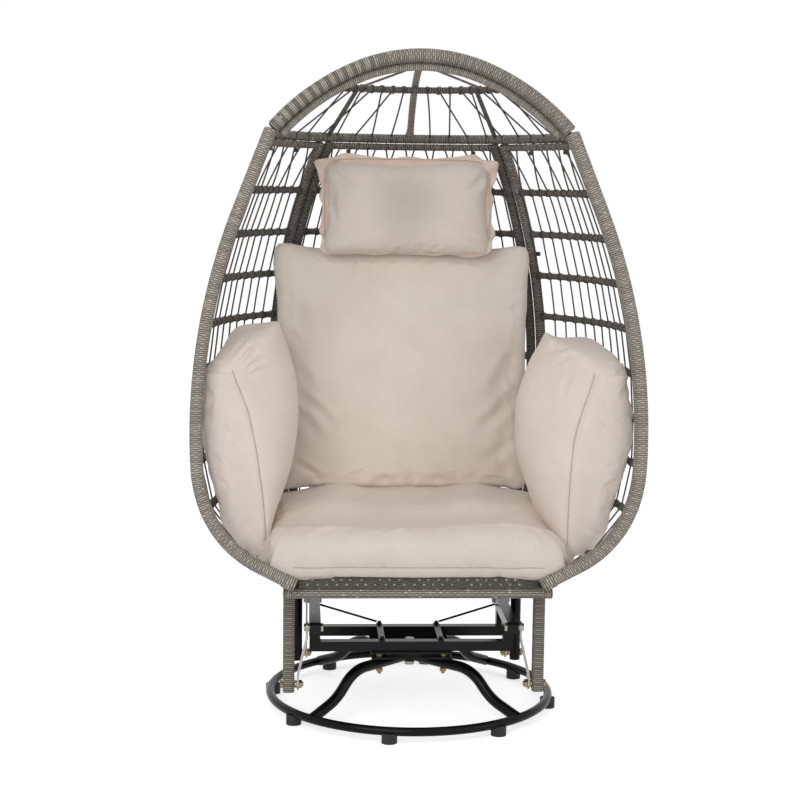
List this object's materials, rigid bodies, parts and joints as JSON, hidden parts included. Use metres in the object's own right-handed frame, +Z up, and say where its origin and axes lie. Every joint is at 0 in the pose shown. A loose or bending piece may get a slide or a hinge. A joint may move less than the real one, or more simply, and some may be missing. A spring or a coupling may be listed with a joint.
{
  "type": "swivel glider pod chair",
  "caption": "Egg-shaped woven pod chair with loose cushions, gliding on hanging links over a round swivel floor ring.",
  "frame": {"origin": "on the floor under the swivel axis, the middle of the floor ring at the feet's resting face", "axes": "+Z up, the chair faces -Y, +X to the viewer's right of the picture"},
  "size_m": [0.9556, 0.6496, 1.44],
  "materials": {
    "black_plastic": "moulded, satin",
    "black_steel": "gloss black powder coat",
    "cushion_fabric": "plain woven polyester, matte",
    "dark_cord": "round cord, satin",
    "rubber": "moulded, matte",
    "woven_dark": "woven flat strand, satin",
    "woven_grey": "woven flat strand, satin",
    "yellow_zinc": "yellow zinc plate",
    "zinc": "bright zinc plate"
  },
  "bodies": {
    "base": {"base_ring": "black_steel", "rubber_feet": "rubber", "leg_front_left": "black_steel", "leg_front_right": "black_steel", "leg_rear_left": "black_steel", "leg_rear_right": "black_steel", "hub_boss": "black_steel", "swivel_lower_plate": "black_steel", "lower_race": "zinc", "bearing_balls": "zinc", "king_pin": "zinc", "plate_bolts": "yellow_zinc"},
    "platform": {"swivel_upper_plate": "black_steel", "upper_race": "zinc", "front_cross_beam": "black_steel", "rear_cross_beam": "black_steel", "beam_uprights": "black_steel", "side_member_left": "black_steel", "side_member_right": "black_steel", "cross_straps": "black_steel", "strap_bolts": "black_steel", "brace_rods": "black_steel", "upper_pivot_bolts": "zinc"},
    "front_links": {"front_link_left": "zinc", "front_link_right": "zinc"},
    "rear_links": {"rear_link_left": "zinc", "rear_link_right": "zinc"},
    "seat": {"arm_cushion_left": "cushion_fabric", "arm_cushion_right": "cushion_fabric", "back_bottom_rail": "woven_dark", "back_cushion": "cushion_fabric", "back_ribs": "woven_dark", "back_side_tubes": "woven_dark", "back_strands": "dark_cord", "back_top_rail": "woven_dark", "cap_arch": "woven_grey", "cap_arch_inner_tube": "woven_grey", "cap_mid_rib": "woven_dark", "cap_rail": "woven_dark", "cap_spokes": "woven_dark", "cap_strands": "dark_cord", "front_posts": "woven_grey", "front_rail": "woven_grey", "head_pillow": "cushion_fabric", "hoop_left": "woven_grey", "hoop_right": "woven_grey", "lower_pivot_bolts": "yellow_zinc", "panel_bolts": "black_plastic", "rear_posts": "black_steel", "seat_cushion": "cushion_fabric", "seat_frame_rails": "woven_dark", "seat_webbing": "woven_grey", "side_bottom_rails": "woven_dark", "side_rear_tubes": "woven_dark", "side_ribs_left": "woven_dark", "side_ribs_right": "woven_dark", "side_strands_left": "dark_cord", "side_strands_right": "dark_cord", "side_top_rails": "woven_dark", "woven_apron": "woven_grey"}
  },
  "joints": [
    {"name": "swivel", "type": "hinge", "parent": "base", "child": "platform", "pos_m": [0, 0, 0.1265], "axis": [0, 0, 1], "continuous": true},
    {"name": "glide", "type": "hinge", "parent": "platform", "child": "front_links", "pos_m": [0, -0.15, 0.207], "axis": [1, 0, 0], "range_deg": [-18, 18]},
    {"name": "seat_level", "type": "hinge", "parent": "front_links", "child": "seat", "pos_m": [0, -0.15, 0.081], "axis": [1, 0, 0], "range_deg": [-18, 18]},
    {"name": "rear_link_swing", "type": "hinge", "parent": "platform", "child": "rear_links", "pos_m": [0, 0.11, 0.207], "axis": [1, 0, 0], "range_deg": [-18, 18]}
  ],
  "couplings": [
    {"joint": "seat_level", "follows": "glide", "ratio": -1},
    {"joint": "rear_link_swing", "follows": "glide", "ratio": 1}
  ]
}
